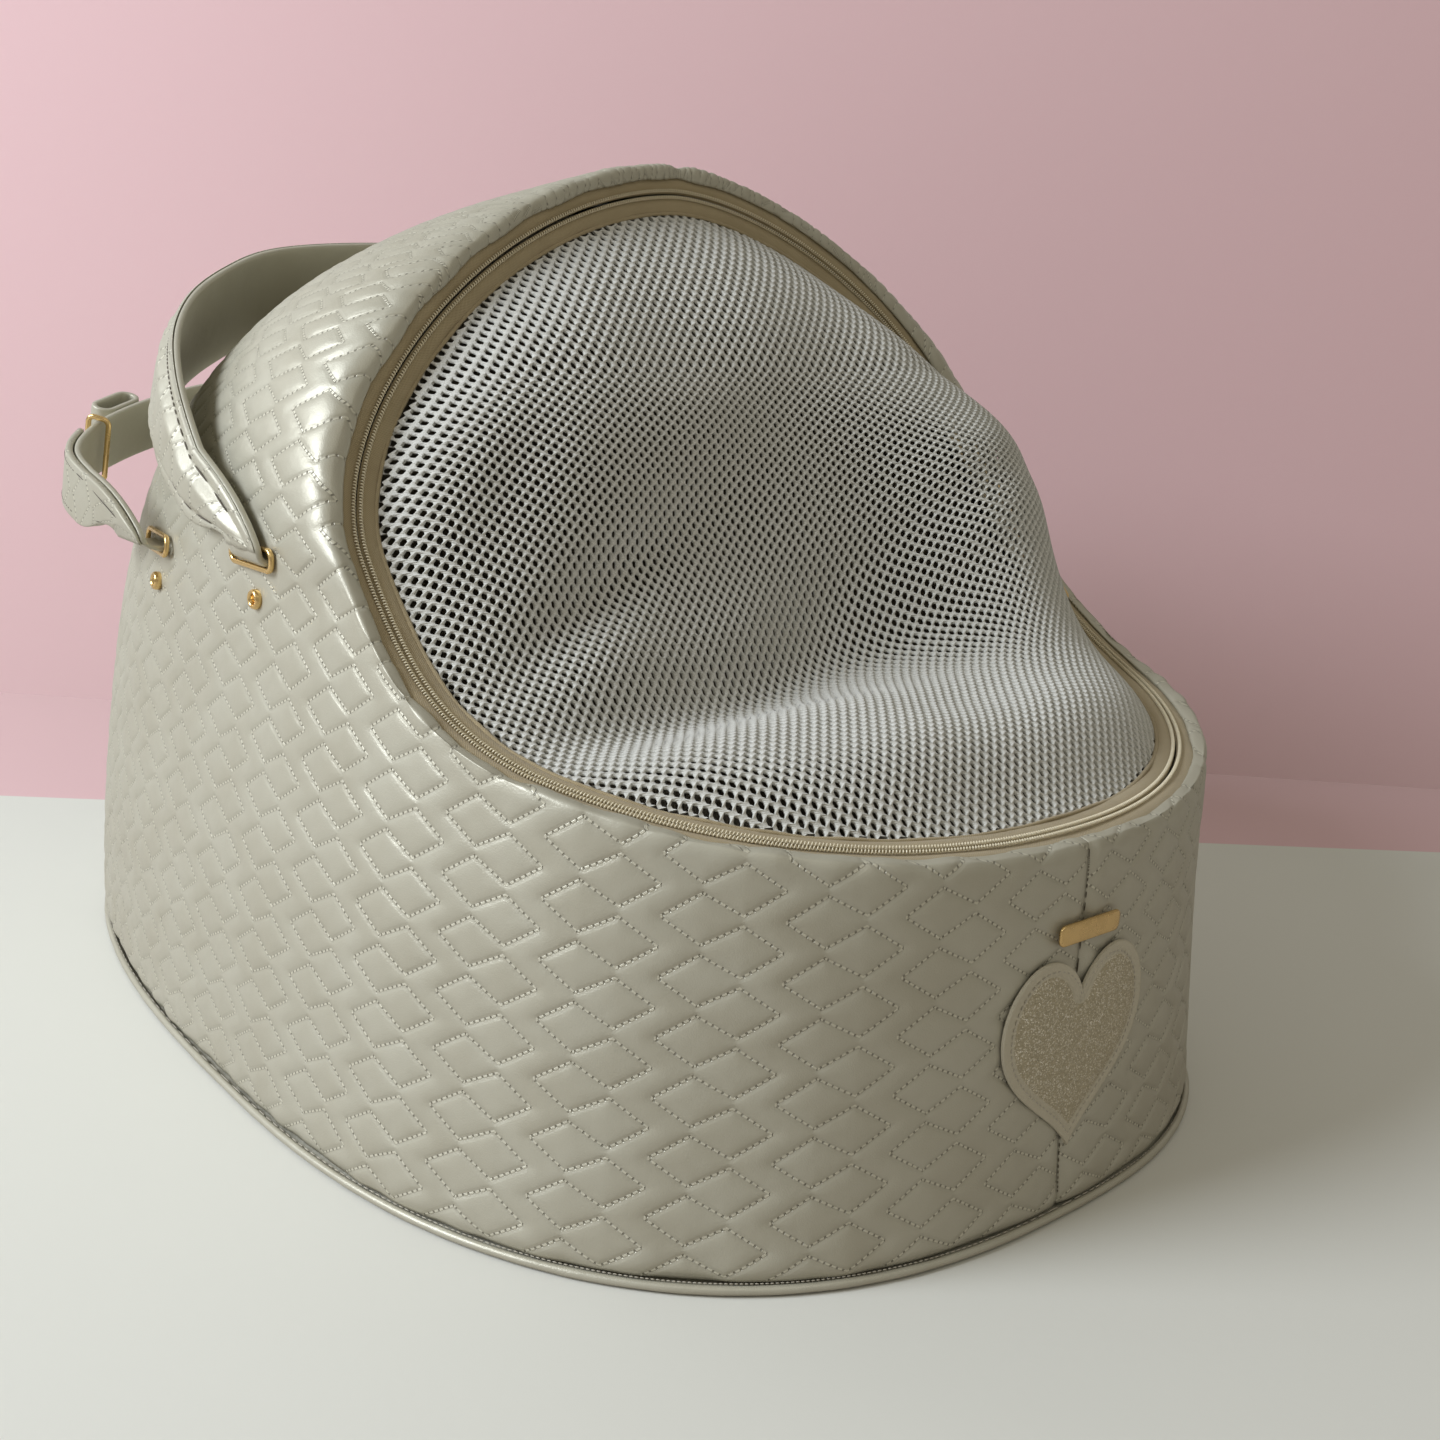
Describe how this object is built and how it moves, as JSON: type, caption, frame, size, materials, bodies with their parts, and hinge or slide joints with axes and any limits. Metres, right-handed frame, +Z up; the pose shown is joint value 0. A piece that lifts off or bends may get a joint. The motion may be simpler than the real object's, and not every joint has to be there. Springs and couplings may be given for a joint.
{
  "type": "pet carrier cot",
  "caption": "Quilted soft-sided pet carrier with a scooped hooded opening, zipped air-mesh cover, padded swing handle and adjustable strap.",
  "frame": {"origin": "centre of the base outline, on the plane the carrier stands on", "axes": "+Z up, -Y towards the low front lip, +X to the side with the zip pulls"},
  "size_m": [0.379, 0.553, 0.3376],
  "materials": {
    "pearl_leather": "quilted pearl champagne faux leather, satin",
    "plain_leather": "plain champagne faux leather, satin",
    "lining_cloth": "soft matt lining cloth",
    "foam_core": "open-cell foam sheet",
    "base_board": "dark stiffening board",
    "cushion_cloth": "soft cushion cover",
    "zip_tape": "woven tan zip tape",
    "zip_coil": "nylon zip coil",
    "air_mesh": "ivory knitted air mesh",
    "steel_wire": "drawn spring wire",
    "glitter_fabric": "fine champagne glitter cloth",
    "gold_metal": "polished gold plating"
  },
  "bodies": {
    "shell": {"bottom_panel": "plain_leather", "base_board": "base_board", "floor_cushion": "cushion_cloth", "base_piping": "plain_leather", "panel_right": "pearl_leather", "panel_left": "pearl_leather", "wall_foam": "foam_core", "lining": "lining_cloth", "rim_hoop": "steel_wire", "body_zip_coil": "zip_coil", "body_zip_tape": "zip_tape", "handle_slot_frame_left": "gold_metal", "handle_rivet_left": "gold_metal", "handle_end_left": "plain_leather", "handle_slot_frame_right": "gold_metal", "handle_rivet_right": "gold_metal", "handle_end_right": "plain_leather", "strap_slot_frame_left": "gold_metal", "strap_rivet_left": "gold_metal", "strap_end_left": "plain_leather", "strap_slot_frame_right": "gold_metal", "strap_rivet_right": "gold_metal", "strap_end_right": "plain_leather", "heart_patch": "glitter_fabric", "plain_plate": "gold_metal"},
    "cover": {"mesh_cover": "air_mesh", "cover_binding": "air_mesh", "cover_zip_tape": "zip_tape", "cover_zip_coil": "zip_coil"},
    "handle": {"handle_backing": "plain_leather", "handle_pad": "pearl_leather"},
    "strap": {"adjustable_strap": "plain_leather", "strap_tab_left": "plain_leather", "strap_tab_right": "plain_leather", "strap_loop_left": "plain_leather", "strap_loop_right": "plain_leather"},
    "ring_left": {"adjuster_ring_left": "gold_metal"},
    "ring_right": {"adjuster_ring_right": "gold_metal"},
    "slider_lower": {"zip_slider_lower": "gold_metal"},
    "slider_upper": {"zip_slider_upper": "gold_metal"},
    "pull_lower": {"zip_pull_lower": "gold_metal"},
    "pull_upper": {"zip_pull_upper": "gold_metal"}
  },
  "joints": [
    {"name": "cover_lift", "type": "slide", "parent": "shell", "child": "cover", "axis": [0, -0.6884, 0.7254], "range_m": [0, 0.14]},
    {"name": "handle_swing", "type": "hinge", "parent": "shell", "child": "handle", "pos_m": [0, -0.045, 0.197], "axis": [1, 0, 0], "range_deg": [0, 66]},
    {"name": "strap_swing", "type": "hinge", "parent": "shell", "child": "strap", "pos_m": [0, 0.047, 0.188], "axis": [1, 0, 0], "range_deg": [0, 62]},
    {"name": "ring_left_slide", "type": "slide", "parent": "strap", "child": "ring_left", "axis": [0.711, 0.6607, 0.2405], "range_m": [-0.003, 0.004]},
    {"name": "ring_right_slide", "type": "slide", "parent": "strap", "child": "ring_right", "axis": [-0.711, 0.6607, 0.2405], "range_m": [-0.003, 0.004]},
    {"name": "slider_lower_travel", "type": "hinge", "parent": "cover", "child": "slider_lower", "pos_m": [0.158, -0.20977, 0.29279], "axis": [1, 0, 0], "range_deg": [-7, 0]},
    {"name": "slider_upper_travel", "type": "hinge", "parent": "cover", "child": "slider_upper", "pos_m": [0.158, -0.20977, 0.29279], "axis": [1, 0, 0], "range_deg": [0, 4]},
    {"name": "pull_lower_flip", "type": "hinge", "parent": "slider_lower", "child": "pull_lower", "pos_m": [0.158, -0.11409, 0.18638], "axis": [-1, 0, 0], "range_deg": [0, 90]},
    {"name": "pull_upper_flip", "type": "hinge", "parent": "slider_upper", "child": "pull_upper", "pos_m": [0.158, -0.10196, 0.19869], "axis": [1, 0, 0], "range_deg": [0, 90]}
  ],
  "couplings": [
    {"joint": "strap_swing", "follows": "handle_swing", "ratio": 0.9}
  ]
}
